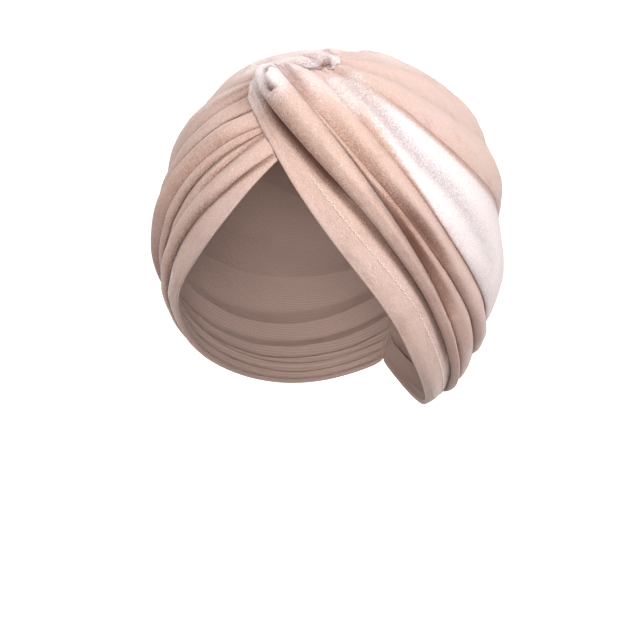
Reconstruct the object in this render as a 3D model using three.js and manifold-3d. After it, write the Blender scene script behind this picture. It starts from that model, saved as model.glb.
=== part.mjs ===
// Twist-front velvet turban: two stretch velvet panels hooked through each other above the forehead.
// Millimetres, +Z up, the face opening towards -Y, the wearer's left at +X.
// The origin is the inside of the crown, where the top of the head bears.

import * as THREE from 'three';
import Module from 'manifold-3d';

const wasm = await Module();
wasm.setup();

// ---------------------------------------------------------------------------------------------
// Driving dimensions
// ---------------------------------------------------------------------------------------------

// The head form that the cloth is stretched over: two half ellipsoids with slightly squared sides.
const HEAD = {
  halfWidth: 74,
  halfLength: 94,
  crownHeight: 78,
  depthBelow: 112,
  squareness: 2.15,
  frontTaper: 0.10
};
const CLOTH = 2.0;             // thickness of the velvet
const GAP = 0.4;               // clearance between the two panels
const LEAN = 0.45;             // how far each fold leans over the one nearer the rim, per height
const NOSE = 0.07;             // length of the rounded end at the twist, as a share of a fold line
const LIFT_LENGTH = 0.13;      // where a panel that crosses over the other comes back to the head
const EASE_LENGTH = 0.48;      // where a fold line has eased from its start tilt to its own tilt
const BLUNTNESS = 2.4;         // roundness of a fold's top: 2 is a parabola, more is blunter
const INNER_RISE = 0.9;        // how far the inner face follows a fold up, as a share of its height
const CROWDING = 1.4;          // how much closer the points lie near the twist than at the back
const STEPS_ACROSS_FOLD = 6;
const STEPS_ALONG_FOLD = 22;

// Stations along a fold, from the twist (0) past the temple to the back seam (1).
const STATIONS = [0, 0.1, 0.3, 0.6, 1];

// Each panel has two tables.
// lay: how the fold lines lie, from the rim (across 0) to the middle of the crown (across 1).
//   startX, startY  where the line starts at the twist
//   endAngle        where it ends on the back seam, in degrees up from the front and over the crown
//   tilt            the turn of its plane: 0 runs straight over the crown, 90 out to the side
//   startTilt       the same where it leaves the twist, before it eases to its own plane
//   lift            how far its start is raised to cross over the other panel
// folds: a row for each fold, from the rim up.
//   edge    where its upper crease lies, across the panel, at each station
//   height  how far it stands up from its creases, at each station
//   floor   how high its upper crease lies, at each station
const LEFT = {
  name: 'left_panel',
  side: 1,
  lay: [
    { across: 0.00, startX: -9, startY: -61, endAngle: 232, startTilt: 145, tilt: 133, lift: 3.2 },
    { across: 0.10, startX: -8, startY: -53, endAngle: 229, startTilt: 145, tilt: 132, lift: 3.2 },
    { across: 0.20, startX: -4, startY: -47, endAngle: 226, startTilt: 143, tilt: 131, lift: 3.2 },
    { across: 0.35, startX: 4, startY: -41, endAngle: 222, startTilt: 136, tilt: 130, lift: 3.0 },
    { across: 0.45, startX: 9, startY: -37, endAngle: 217, startTilt: 132, tilt: 129, lift: 1.0 },
    { across: 0.62, startX: 12, startY: -30, endAngle: 206, startTilt: 127, tilt: 127, lift: 0 },
    { across: 0.74, startX: 13, startY: -23, endAngle: 197, startTilt: 112, tilt: 112, lift: 0 },
    { across: 0.86, startX: 11, startY: -16, endAngle: 190, startTilt: 70, tilt: 70, lift: 0 },
    { across: 1.00, startX: 0, startY: -9, endAngle: 185, startTilt: 0, tilt: 0, lift: 0 }
  ],
  folds: [
    { edge: [0.1, 0.15, 0.19, 0.225, 0.17], height: [0.6, 0.8, 1, 1.5, 1.5], floor: [0.5, 0, 0, 0, 0] },
    { edge: [0.26, 0.3, 0.35, 0.34, 0.3], height: [4, 7.5, 7, 5.5, 4], floor: [3, 4, 3.5, 1, 0] },
    { edge: [0.28, 0.315, 0.415, 0.43, 0.4], height: [0.5, 0.5, 3, 5, 4], floor: [3, 4, 3.5, 1, 0] },
    { edge: [0.44, 0.54, 0.59, 0.61, 0.57], height: [2, 3, 4, 5, 4], floor: [2, 3, 3.5, 3, 1.5] },
    { edge: [0.6, 0.69, 0.735, 0.73, 0.71], height: [2, 2.5, 3, 4, 4], floor: [1, 2, 3, 2, 0] },
    { edge: [0.74, 0.79, 0.825, 0.82, 0.82], height: [1.5, 2.5, 3, 3.5, 4], floor: [0.5, 1.5, 2, 1.5, 0] },
    { edge: [0.86, 0.88, 0.91, 0.91, 0.91], height: [1.5, 2.5, 3, 3.5, 4], floor: [0, 1, 1.5, 1.8, 1] },
    { edge: [1, 1, 1, 1, 1], height: [1, 2, 3, 3, 3], floor: [0, 0, 0, 0, 0] }
  ]
};
const RIGHT = {
  name: 'right_panel',
  side: -1,
  lay: [
    { across: 0.00, startX: 14, startY: -80, endAngle: 232, startTilt: 147, tilt: 126, lift: 0 },
    { across: 0.15, startX: 9, startY: -74, endAngle: 229, startTilt: 141, tilt: 127, lift: 0 },
    { across: 0.30, startX: 4, startY: -67, endAngle: 225, startTilt: 133, tilt: 128, lift: 0 },
    { across: 0.45, startX: 0, startY: -59, endAngle: 218, startTilt: 129, tilt: 128, lift: 0 },
    { across: 0.55, startX: -5, startY: -54, endAngle: 212, startTilt: 128, tilt: 127, lift: 0 },
    { across: 0.62, startX: -3, startY: -50, endAngle: 206, startTilt: 127, tilt: 127, lift: 0 },
    { across: 0.67, startX: 8, startY: -38, endAngle: 202, startTilt: 125, tilt: 125, lift: 4.0 },
    { across: 0.74, startX: 16, startY: -31, endAngle: 197, startTilt: 112, tilt: 112, lift: 3.6 },
    { across: 0.86, startX: 15, startY: -20, endAngle: 190, startTilt: 70, tilt: 70, lift: 3.2 },
    { across: 1.00, startX: 0, startY: -9, endAngle: 185, startTilt: 0, tilt: 0, lift: 0 }
  ],
  folds: [
    { edge: [0.04, 0.07, 0.13, 0.15, 0.15], height: [0.3, 0.6, 1, 1.5, 1.5], floor: [0, 0, 0, 0, 0] },
    { edge: [0.18, 0.2, 0.27, 0.3, 0.28], height: [1.5, 2.5, 4, 4, 4], floor: [0, 0, 0, 0, 0] },
    { edge: [0.22, 0.25, 0.29, 0.35, 0.38], height: [0.8, 2, 1.5, 3, 4], floor: [0, 0.5, 0.5, 1, 0] },
    { edge: [0.3, 0.35, 0.4, 0.45, 0.48], height: [0.8, 1.5, 2, 3, 4], floor: [0.5, 1.5, 2, 2, 0] },
    { edge: [0.48, 0.52, 0.53, 0.57, 0.6], height: [2, 5, 4.5, 4, 4], floor: [0, 1, 1.5, 2, 0] },
    { edge: [0.62, 0.62, 0.66, 0.7, 0.72], height: [0.5, 3, 3, 4, 4], floor: [0, 0, 1, 2, 0] },
    { edge: [0.74, 0.74, 0.77, 0.8, 0.82], height: [2, 3, 3, 4, 4], floor: [1, 1.6, 1.8, 1, 0] },
    { edge: [0.86, 0.87, 0.88, 0.9, 0.91], height: [2, 3, 3, 4, 4], floor: [1, 1.3, 1.4, 1.8, 1] },
    { edge: [1, 1, 1, 1, 1], height: [0.5, 1.5, 3, 3, 3], floor: [0, 0, 0, 0, 0] }
  ]
};

// ---------------------------------------------------------------------------------------------
// The head form
// ---------------------------------------------------------------------------------------------

const CENTRE_Z = -HEAD.crownHeight;
const HALVINGS = 36;           // halvings of a ray's length that find the form's surface
const FEELER = 0.25;           // step, in mm, that finds the form's slope

// 1 on the head form, less inside it and more outside it.
function formLevel(point) {
  const forward = THREE.MathUtils.clamp(-point.y / HEAD.halfLength, 0, 1.2);
  const width = HEAD.halfWidth * (1 - HEAD.frontTaper * forward * forward);
  const up = point.z - CENTRE_Z;
  const height = up > 0 ? HEAD.crownHeight : HEAD.depthBelow;
  const power = (value, half) => Math.pow(Math.abs(value) / half, HEAD.squareness);
  return power(point.x, width) + power(point.y, HEAD.halfLength) + power(up, height);
}

// Where a ray from inside the form comes out of it.
function onForm(from, direction) {
  let near = 0;
  let far = 2 * (HEAD.halfLength + HEAD.depthBelow);
  const point = new THREE.Vector3();
  for (let pass = 0; pass < HALVINGS; pass += 1) {
    const middle = (near + far) / 2;
    point.copy(from).addScaledVector(direction, middle);
    if (formLevel(point) < 1) near = middle;
    else far = middle;
  }
  return point.copy(from).addScaledVector(direction, near);
}

// The outward direction square to the form.
function formNormal(point) {
  const slope = (axis) => {
    const ahead = point.clone();
    const behind = point.clone();
    ahead[axis] += FEELER;
    behind[axis] -= FEELER;
    return formLevel(ahead) - formLevel(behind);
  };
  return new THREE.Vector3(slope('x'), slope('y'), slope('z')).normalize();
}

// ---------------------------------------------------------------------------------------------
// Tables to smooth lines
// ---------------------------------------------------------------------------------------------

// A smooth curve through (xs, ys) that never swings past its own values.
function smoothThrough(xs, ys, x) {
  const last = xs.length - 1;
  let left = 0;
  while (left < last - 1 && x > xs[left + 1]) left += 1;
  const rise = (k) => (ys[k + 1] - ys[k]) / (xs[k + 1] - xs[k]);
  const slope = (k) => {
    if (k === 0) return rise(0);
    if (k === last) return rise(last - 1);
    const before = rise(k - 1);
    const after = rise(k);
    return before * after > 0 ? (2 * before * after) / (before + after) : 0;
  };
  const span = xs[left + 1] - xs[left];
  const t = THREE.MathUtils.clamp((x - xs[left]) / span, 0, 1);
  const ease = t * t * (3 - 2 * t);
  const leave = t * (1 - t) * (1 - t) * span * slope(left);
  const arrive = t * t * (1 - t) * span * slope(left + 1);
  return ys[left] * (1 - ease) + ys[left + 1] * ease + leave - arrive;
}

function readLay(panel, column, across) {
  const places = panel.lay.map((row) => row.across);
  return smoothThrough(places, panel.lay.map((row) => row[column]), across);
}

// ---------------------------------------------------------------------------------------------
// A panel's surface
// ---------------------------------------------------------------------------------------------

const NUDGE = 0.01;            // share of a fold line that finds its direction

// The plane that one fold line lies in, with the two points that the line joins.
function foldPlane(panel, across) {
  const crown = new THREE.Vector3(0, 0, CENTRE_Z);
  const startX = readLay(panel, 'startX', across);
  const startY = readLay(panel, 'startY', across);
  const high = new THREE.Vector3(startX, startY, CENTRE_Z);
  const start = onForm(high, new THREE.Vector3(0, 0, 1));
  const angle = THREE.MathUtils.degToRad(readLay(panel, 'endAngle', across));
  const end = onForm(crown, new THREE.Vector3(0, -Math.cos(angle), Math.sin(angle)));
  const middle = start.clone().add(end).multiplyScalar(0.5);
  const along = start.clone().sub(middle).normalize();
  const upward = new THREE.Vector3(0, -along.z, along.y).normalize();
  if (upward.z < 0) upward.negate();
  const outward = new THREE.Vector3().crossVectors(along, upward).normalize();
  if (outward.x * panel.side < 0) outward.negate();
  const startTilt = THREE.MathUtils.degToRad(readLay(panel, 'startTilt', across));
  const tilt = THREE.MathUtils.degToRad(readLay(panel, 'tilt', across));
  return { middle, along, upward, outward, startTilt, tilt };
}

function onFoldLine(plane, share) {
  const turn = Math.PI * share;
  const eased = THREE.MathUtils.smoothstep(share, 0, EASE_LENGTH);
  const tilt = plane.startTilt + (plane.tilt - plane.startTilt) * eased;
  const direction = plane.along.clone().multiplyScalar(Math.cos(turn));
  direction.addScaledVector(plane.upward, Math.sin(turn) * Math.cos(tilt));
  direction.addScaledVector(plane.outward, Math.sin(turn) * Math.sin(tilt));
  return onForm(plane.middle, direction);
}

// Height of the cloth over the form, and how far the cloth under the fold rises with it.
function foldHeight(panel, fold, share, along) {
  const row = panel.folds[fold];
  const below = panel.folds[fold - 1];
  const lowFloor = below ? smoothThrough(STATIONS, below.floor, along) : 0;
  const highFloor = smoothThrough(STATIONS, row.floor, along);
  const stand = smoothThrough(STATIONS, row.height, along);
  const centred = Math.abs(2 * share - 1);
  const base = lowFloor + (highFloor - lowFloor) * share;
  const outer = base + stand * (1 - centred ** BLUNTNESS);
  const inner = base + stand * (1 - centred) * INNER_RISE;
  return { outer, inner };
}

// The rounded end of the cloth where it turns under at the twist.
function roundedEnd(along) {
  const rest = 1 - Math.min(1, along / NOSE);
  return Math.sqrt(1 - rest * rest);
}

function liftAt(panel, across, along) {
  const rest = 1 - THREE.MathUtils.smoothstep(along, 0, LIFT_LENGTH);
  return readLay(panel, 'lift', across) * rest;
}

// One row of points along a fold line, on the outer and the inner face of the cloth.
function clothRow(panel, fold, share, grow) {
  const row = { outer: [], inner: [] };
  for (let step = 0; step <= STEPS_ALONG_FOLD; step += 1) {
    const along = (step / STEPS_ALONG_FOLD) ** CROWDING;
    const below = panel.folds[fold - 1];
    const low = below ? smoothThrough(STATIONS, below.edge, along) : 0;
    const high = smoothThrough(STATIONS, panel.folds[fold].edge, along);
    const across = low + (high - low) * share;
    const plane = foldPlane(panel, across);
    const point = onFoldLine(plane, along);
    const normal = formNormal(point);
    const run = onFoldLine(plane, along + NUDGE).sub(onFoldLine(plane, along - NUDGE));
    const toRim = run.clone().cross(normal).multiplyScalar(panel.side).normalize();
    const height = foldHeight(panel, fold, share, along);
    const end = roundedEnd(along);
    const lift = liftAt(panel, across, along);
    const place = (rise) => {
      const spot = point.clone().addScaledVector(normal, rise).addScaledVector(toRim, LEAN * rise);
      if (step === 0) spot.addScaledVector(run, -grow / run.length());
      if (across === 0) spot.addScaledVector(toRim, grow);
      if (along === 1 || across === 1) spot.x = panel.side * GAP / 2;
      return spot;
    };
    row.outer.push(place(lift + height.outer * end + CLOTH + grow));
    row.inner.push(place(Math.max(0, lift + height.inner * end - grow)));
  }
  return row;
}

// A closed solid from rows of outer and inner points.
function closedWall(rows) {
  const columns = rows[0].outer.length;
  const points = rows.flatMap((row) => [...row.outer, ...row.inner]);
  const outer = (r, c) => r * 2 * columns + c;
  const inner = (r, c) => outer(r, c) + columns;
  const triangles = [];
  const quad = (a, b, c, d) => triangles.push(a, b, c, a, c, d);
  const lastRow = rows.length - 1;
  const lastColumn = columns - 1;
  for (let r = 0; r < lastRow; r += 1) {
    for (let c = 0; c < lastColumn; c += 1) {
      quad(outer(r, c), outer(r, c + 1), outer(r + 1, c + 1), outer(r + 1, c));
      quad(inner(r, c), inner(r + 1, c), inner(r + 1, c + 1), inner(r, c + 1));
    }
    quad(outer(r, 0), outer(r + 1, 0), inner(r + 1, 0), inner(r, 0));
    quad(outer(r + 1, lastColumn), outer(r, lastColumn), inner(r, lastColumn), inner(r + 1, lastColumn));
  }
  for (let c = 0; c < lastColumn; c += 1) {
    quad(outer(0, c + 1), outer(0, c), inner(0, c), inner(0, c + 1));
    quad(outer(lastRow, c), outer(lastRow, c + 1), inner(lastRow, c + 1), inner(lastRow, c));
  }
  return { points, triangles };
}

function panelSolid(panel, grow) {
  const rows = [];
  panel.folds.forEach((row, fold) => {
    for (let step = fold === 0 ? 0 : 1; step <= STEPS_ACROSS_FOLD; step += 1) {
      rows.push(clothRow(panel, fold, step / STEPS_ACROSS_FOLD, grow));
    }
  });
  const wall = closedWall(rows);
  const vertProperties = new Float32Array(wall.points.flatMap((point) => point.toArray()));
  const order = panel.side > 0 ? [0, 1, 2] : [0, 2, 1];
  const triVerts = new Uint32Array(wall.triangles.length);
  for (let corner = 0; corner < triVerts.length; corner += 3) {
    order.forEach((from, k) => { triVerts[corner + k] = wall.triangles[corner + from]; });
  }
  return new wasm.Manifold(new wasm.Mesh({ numProp: 3, vertProperties, triVerts }));
}

// ---------------------------------------------------------------------------------------------
// The assembly
// ---------------------------------------------------------------------------------------------

function clothMesh(name, solid, colour) {
  const found = solid.getMesh();
  const geometry = new THREE.BufferGeometry();
  geometry.setAttribute('position', new THREE.BufferAttribute(new Float32Array(found.vertProperties), 3));
  geometry.setIndex(new THREE.BufferAttribute(new Uint32Array(found.triVerts), 1));
  geometry.computeVertexNormals();
  const material = new THREE.MeshStandardMaterial({ color: colour, roughness: 0.85, metalness: 0 });
  const mesh = new THREE.Mesh(geometry, material);
  mesh.name = name;
  return mesh;
}

// The largest of the bodies that a cut leaves: what is trimmed off at the crossing falls away.
function largestBody(solid) {
  const bodies = solid.decompose();
  return bodies.reduce((most, body) => (body.volume() > most.volume() ? body : most));
}

const leftSolid = panelSolid(LEFT, 0);
const rightSolid = largestBody(panelSolid(RIGHT, 0).subtract(panelSolid(LEFT, GAP)));

const group = new THREE.Group();
group.add(clothMesh(LEFT.name, leftSolid, 0xcfae9f));
group.add(clothMesh(RIGHT.name, rightSolid, 0xc9a697));

export default group;
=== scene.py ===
# %% [markdown]
# # A twist-front velvet turban
# A turban headband is two panels of stretch velvet that hook through each other above the
# forehead and are gathered back to one seam behind the head. The cloth is thin and soft, so
# almost everything that the eye reads comes from its folds and from the pile of the velvet.
# This lesson builds the two sheets fold by fold from small tables, tucks one under the other,
# and adds the sewn hem. The packed CAD model is the frame: it says how big each panel is.

# %% Load the frame
import math

import bpy
import numpy as np
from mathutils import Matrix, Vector


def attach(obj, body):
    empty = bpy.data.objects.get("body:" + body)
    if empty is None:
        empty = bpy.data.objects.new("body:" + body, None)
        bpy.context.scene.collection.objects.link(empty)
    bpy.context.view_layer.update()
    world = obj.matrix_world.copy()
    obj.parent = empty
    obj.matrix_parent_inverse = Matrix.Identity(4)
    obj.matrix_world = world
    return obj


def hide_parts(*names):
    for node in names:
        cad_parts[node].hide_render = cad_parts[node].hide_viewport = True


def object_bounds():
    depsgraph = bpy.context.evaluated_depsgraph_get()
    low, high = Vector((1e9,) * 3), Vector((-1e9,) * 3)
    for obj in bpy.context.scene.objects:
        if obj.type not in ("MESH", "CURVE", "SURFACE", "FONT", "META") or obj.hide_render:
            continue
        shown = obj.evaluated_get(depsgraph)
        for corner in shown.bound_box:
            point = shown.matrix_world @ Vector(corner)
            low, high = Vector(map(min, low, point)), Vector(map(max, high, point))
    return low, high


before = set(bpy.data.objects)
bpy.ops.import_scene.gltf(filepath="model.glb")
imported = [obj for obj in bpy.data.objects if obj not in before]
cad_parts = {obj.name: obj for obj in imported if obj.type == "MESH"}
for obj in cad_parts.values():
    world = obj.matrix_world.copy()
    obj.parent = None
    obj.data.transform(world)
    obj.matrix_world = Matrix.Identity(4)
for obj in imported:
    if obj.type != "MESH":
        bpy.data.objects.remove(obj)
cad_low, cad_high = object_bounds()
MM = 0.001
print("CAD box in mm:", [round(c / MM, 1) for c in (*cad_low, *cad_high)])

# %% [markdown]
# ## Camera
# A long lens from a little above, turned to the wearer's left, shows the twist and the long
# folds over the ear. A camera that looks below the cap leaves the cap in the upper half.

# %% Place the camera
# degrees round to the wearer's left and up, metres away, then the lens and its sensor in mm
CAMERA_TURN = 25.0
CAMERA_RISE = 9.5
CAMERA_DISTANCE = 1.1
LENS = 125.6
SENSOR = 36
# how far beside and below the middle of the cap the camera looks, in mm
AIM_LEFT = 6.6
AIM_DOWN = 44.3


def direction_back(turn, rise):
    """The way from the object to a camera that is turned and raised by these degrees."""
    a, e = math.radians(turn), math.radians(rise)
    return Vector((math.sin(a) * math.cos(e), -math.cos(a) * math.cos(e), math.sin(e)))


middle = (cad_low + cad_high) / 2
back = direction_back(CAMERA_TURN, CAMERA_RISE)
right = Vector((0, 0, 1)).cross(back).normalized()
up = back.cross(right)
aim = middle - right * AIM_LEFT * MM - up * AIM_DOWN * MM
camera = bpy.data.objects.new("camera", bpy.data.cameras.new("camera"))
camera.data.lens = LENS
camera.data.sensor_width = SENSOR
camera.location = middle + back * CAMERA_DISTANCE
camera.rotation_mode = "QUATERNION"
camera.rotation_quaternion = (aim - camera.location).to_track_quat("-Z", "Y")
bpy.context.scene.collection.objects.link(camera)
bpy.context.scene.camera = camera
print("camera at", [round(c, 3) for c in camera.location])

# %% [markdown]
# ## Floor and wall
# The cap is held up as a head holds it, so the pale floor lies well below it. A wall far round
# the cap keeps a view from the side from ending in a dark horizon. Only the camera sees that
# wall, because a bright wall that also lit the cap would flatten its folds.

# %% Set up the stage
FLOOR = {"drop": 0.30, "size": 30, "colour": (0.86, 0.86, 0.86), "roughness": 0.9, "glow": 0.52}
WALL = {"radius": 14, "height": 24, "sides": 96, "colour": (0, 0, 0), "roughness": 1.0, "glow": 1.0}


def plain_material(name, colour, roughness):
    """A material of one colour, for nodes to build on."""
    made = bpy.data.materials.new(name)
    made.use_nodes = True
    shader = made.node_tree.nodes["Principled BSDF"]
    shader.inputs["Base Color"].default_value = (*colour, 1)
    shader.inputs["Roughness"].default_value = roughness
    return made


def set_on_stage(piece, name, look, hidden_from):
    """Names a piece of the stage, lets it glow white and hides it from some kinds of ray."""
    piece.name = name
    material = plain_material("pale_" + name, look["colour"], look["roughness"])
    shader = material.node_tree.nodes["Principled BSDF"]
    shader.inputs["Emission Color"].default_value = (1, 1, 1, 1)
    shader.inputs["Emission Strength"].default_value = look["glow"]
    piece.data.materials.append(material)
    for ray in hidden_from:
        setattr(piece, "visible_" + ray, False)


floor_height = cad_low.z - FLOOR["drop"]
bpy.ops.mesh.primitive_plane_add(size=FLOOR["size"], location=(0, 0, floor_height))
set_on_stage(bpy.context.object, "floor", FLOOR, ("diffuse", "glossy"))
bpy.ops.mesh.primitive_cylinder_add(
    radius=WALL["radius"], depth=WALL["height"], end_fill_type="TRIFAN", vertices=WALL["sides"])
set_on_stage(bpy.context.object, "wall", WALL, ("diffuse", "glossy", "shadow", "transmission"))
print("floor at", round(floor_height, 3), "m, wall at", WALL["radius"], "m")

# %% [markdown]
# ## Light
# Velvet needs large soft lights, because its pile turns every hard light into a patch. The main
# panel stands at the wearer's left and whitens the crown, one beside the camera fills the front,
# and two weak ones keep the far side and the back from going dark.

# %% Light the studio
# name, turn and rise round the cap in degrees, distance and side in metres, watts, colour
LIGHTS = [
    ("main", 75, 34, 1.3, 0.6, 11.5, (1, 0.98, 0.97)),
    ("front", 25, 8, 1.8, 0.8, 16.5, (1, 0.97, 0.95)),
    ("left", -60, 15, 1.6, 0.8, 4, (1, 0.98, 0.97)),
    ("behind", 190, 45, 1.7, 1.0, 8, (1, 1, 1)),
]
for name, turn, rise, distance, side, power, colour in LIGHTS:
    lamp = bpy.data.lights.new(name, "AREA")
    lamp.shape = "SQUARE"
    lamp.size = side
    lamp.energy = power
    lamp.color = colour
    holder = bpy.data.objects.new(name + "_light", lamp)
    way = direction_back(turn, rise)
    holder.location = middle + way * distance
    holder.rotation_mode = "QUATERNION"
    holder.rotation_quaternion = (-way).to_track_quat("-Z", "Y")
    bpy.context.scene.collection.objects.link(holder)
print("lights:", [row[0] for row in LIGHTS])

# %% [markdown]
# ## Sky
# The rest of the light comes from a white sky that is dim below and bright above, like a white
# room. Undersides of folds then stay a little darker than their tops from every side.

# %% Fill in from a soft sky
# the heights between which the sky brightens, from -1 straight down to 1 overhead, and its two levels
SKY = {"From Min": -0.7, "From Max": 0.8, "To Min": 0.22, "To Max": 0.8}
world = bpy.data.worlds.new("studio")
world.use_nodes = True
sky = world.node_tree
upward = sky.nodes.new("ShaderNodeSeparateXYZ")
sky.links.new(sky.nodes.new("ShaderNodeTexCoord").outputs["Generated"], upward.inputs[0])
brightness = sky.nodes.new("ShaderNodeMapRange")
for socket, value in SKY.items():
    brightness.inputs[socket].default_value = value
sky.links.new(upward.outputs["Z"], brightness.inputs["Value"])
sky.links.new(brightness.outputs["Result"], sky.nodes["Background"].inputs["Strength"])
sky.nodes["Background"].inputs["Color"].default_value = (1, 1, 1, 1)
bpy.context.scene.world = world
bpy.context.scene.view_settings.view_transform = "Standard"
print("sky from", SKY["To Min"], "to", SKY["To Max"])

# %% [markdown]
# ## The head form
# Cloth that is stretched over a head takes the head's shape between its folds. The form is two
# half ellipsoids with slightly squared sides. A ray from inside is halved again and again until
# it ends on the form, for many thousand rays at once.

# %% Find points on the head form
# in mm, with the top of the form at the origin; the taper narrows the form towards the forehead
HEAD = {
    "half_width": 74, "half_length": 94, "crown_height": 78, "depth_below": 112,
    "squareness": 2.15, "front_taper": 0.10, "taper_end": 1.2,
}
CENTRE_Z = -HEAD["crown_height"]
# how often a ray is halved, and the small step in mm that feels which way is out
HALVINGS = 36
FEELER = 0.25


def form_level(point):
    """Below 1 inside the form, 1 on it and above 1 outside."""
    forward = np.clip(-point[..., 1] / HEAD["half_length"], 0, HEAD["taper_end"])
    width = HEAD["half_width"] * (1 - HEAD["front_taper"] * forward**2)
    rise = point[..., 2] - CENTRE_Z
    height = np.where(rise > 0, HEAD["crown_height"], HEAD["depth_below"])
    parts = (point[..., 0] / width, point[..., 1] / HEAD["half_length"], rise / height)
    return sum(np.abs(part) ** HEAD["squareness"] for part in parts)


def on_form(start, way):
    """Where a ray from inside the form comes out of it."""
    near = np.zeros(np.broadcast(start[..., 0], way[..., 0]).shape)
    far = near + 2 * (HEAD["half_length"] + HEAD["depth_below"])
    for _ in range(HALVINGS):
        half = (near + far) / 2
        inside = form_level(start + way * half[..., None]) < 1
        near = np.where(inside, half, near)
        far = np.where(inside, far, half)
    return start + way * near[..., None]


def unit(vectors):
    """The same ways, each of length 1."""
    return vectors / np.linalg.norm(vectors, axis=-1, keepdims=True)


def form_normal(point):
    """The way out of the form, felt from a small step to each side."""
    steps = np.eye(3) * FEELER
    return unit(np.stack([form_level(point + s) - form_level(point - s) for s in steps], -1))


reached = on_form(np.array([[0.0, 0.0, CENTRE_Z]]), np.eye(3))
print("side, back and top of the form in mm:", np.diag(reached).round(1).tolist())

# %% [markdown]
# ## From tables to smooth lines
# A curve through the rows of a table must not swing past its values, or a fold would bulge
# between two stations. The slope at each row is the harmonic mean of the slopes beside it.

# %% Read the tables as smooth curves
def smooth_through(xs, ys, x):
    """The smooth curve through these points, at x."""
    xs, ys = np.asarray(xs, float), np.asarray(ys, float)
    rise = np.diff(ys) / np.diff(xs)
    before, after = rise[:-1], rise[1:]
    same = before * after > 0
    inner = np.where(same, 2 * before * after / np.where(same, before + after, 1), 0)
    slope = np.concatenate([rise[:1], inner, rise[-1:]])
    k = np.searchsorted(xs[1:-1], x, side="left")
    span = xs[k + 1] - xs[k]
    t = np.clip((x - xs[k]) / span, 0, 1)
    ease = t * t * (3 - 2 * t)
    leave = t * (1 - t) ** 2 * span * slope[k]
    arrive = t * t * (1 - t) * span * slope[k + 1]
    return ys[k] * (1 - ease) + ys[k + 1] * ease + leave - arrive


def ease_between(x, low, high):
    """0 below low, 1 above high, and smooth between."""
    t = np.clip((x - low) / (high - low), 0, 1)
    return t * t * (3 - 2 * t)


print("between 0, 1 and 4:", smooth_through([0, 1, 2], [0, 1, 4], np.array([0.5, 1.5])).round(2).tolist())

# %% [markdown]
# ## The lines that the cloth follows
# A panel's fold lines run from the twist over the head to the back seam. The table says how they
# lie, from the rim (across 0) to the middle of the crown (across 1). Each line lies in a plane
# through its start and its end, and the plane tilts from straight over the crown (0) to out at
# the side (90). The tables start from those of the CAD part, so the sheets come out where its
# panels are.

# %% Write down how the fold lines lie
# the share across, the start point in mm, the end's angle in degrees, the tilt at the start and after it
# in degrees, and how far the cloth is lifted there in mm
LAY = ("across", "start_x", "start_y", "end_angle", "start_tilt", "tilt", "lift")
LEFT = {
    "name": "left_panel", "side": 1,
    "lay": [
        (0.00, -9, -61, 232, 145, 133, 3.2),
        (0.10, -8, -53, 229, 145, 132, 3.2),
        (0.20, -4, -47, 226, 143, 131, 3.2),
        (0.35, 4, -41, 222, 136, 130, 3.0),
        (0.45, 9, -37, 217, 132, 129, 1.0),
        (0.62, 12, -30, 206, 127, 127, 0),
        (0.74, 13, -23, 197, 112, 112, 0),
        (0.86, 11, -16, 190, 70, 70, 0),
        (1.00, 0, -9, 185, 0, 0, 0),
    ],
}
RIGHT = {
    "name": "right_panel", "side": -1,
    "lay": [
        (0.00, 14, -80, 232, 147, 126, 0),
        (0.15, 9, -74, 229, 141, 127, 0),
        (0.30, 4, -67, 225, 133, 128, 0),
        (0.45, 0, -59, 218, 129, 128, 0),
        (0.55, -5, -54, 212, 128, 127, 0),
        (0.62, -3, -50, 206, 127, 127, 0),
        (0.67, 8, -38, 202, 125, 125, 4.0),
        (0.74, 16, -31, 197, 112, 112, 3.6),
        (0.86, 15, -20, 190, 70, 70, 3.2),
        (1.00, 0, -9, 185, 0, 0, 0),
    ],
}
print("rows of the tables:", len(LEFT["lay"]), "left and", len(RIGHT["lay"]), "right")

# %% [markdown]
# ## Fold lines over the head
# A plane through a line's start and end is swept by a ray from its middle, and the head form
# stops the ray. Such a line is smooth from end to end and always lies on the head, which a curve
# through points in space would not.

# %% Lay the fold lines on the form
# the share of a line over which its tilt changes
EASE_LENGTH = 0.48


def read_lay(panel, column, across):
    """One column of a panel's table, as a smooth curve over the share across."""
    k = LAY.index(column)
    return smooth_through([row[0] for row in panel["lay"]], [row[k] for row in panel["lay"]], across)


def fold_plane(panel, across):
    """The planes of the fold lines at these shares across: middle, three directions and two tilts."""
    crown = np.array([0.0, 0.0, CENTRE_Z])
    level = np.full_like(across, CENTRE_Z)
    high = np.stack([read_lay(panel, "start_x", across), read_lay(panel, "start_y", across), level], -1)
    start = on_form(high, np.broadcast_to([0.0, 0.0, 1.0], high.shape))
    angle = np.radians(read_lay(panel, "end_angle", across))
    end = on_form(crown, np.stack([np.zeros_like(angle), -np.cos(angle), np.sin(angle)], -1))
    centre = (start + end) / 2
    along = unit(start - centre)
    upward = unit(np.stack([np.zeros_like(angle), -along[..., 2], along[..., 1]], -1))
    upward *= np.sign(upward[..., 2:])
    outward = unit(np.cross(along, upward))
    outward *= np.sign(outward[..., :1]) * panel["side"]
    tilts = [np.radians(read_lay(panel, column, across)) for column in ("start_tilt", "tilt")]
    return centre, along, upward, outward, tilts


def on_fold_line(plane, share):
    """Points on the form at these shares along the fold lines."""
    centre, along, upward, outward, (start_tilt, tilt) = plane
    turn = np.pi * share
    tilted = start_tilt + (tilt - start_tilt) * ease_between(share, 0, EASE_LENGTH)
    way = along * np.cos(turn)[..., None]
    way = way + upward * (np.sin(turn) * np.cos(tilted))[..., None]
    way = way + outward * (np.sin(turn) * np.sin(tilted))[..., None]
    return on_form(centre, way)


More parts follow.
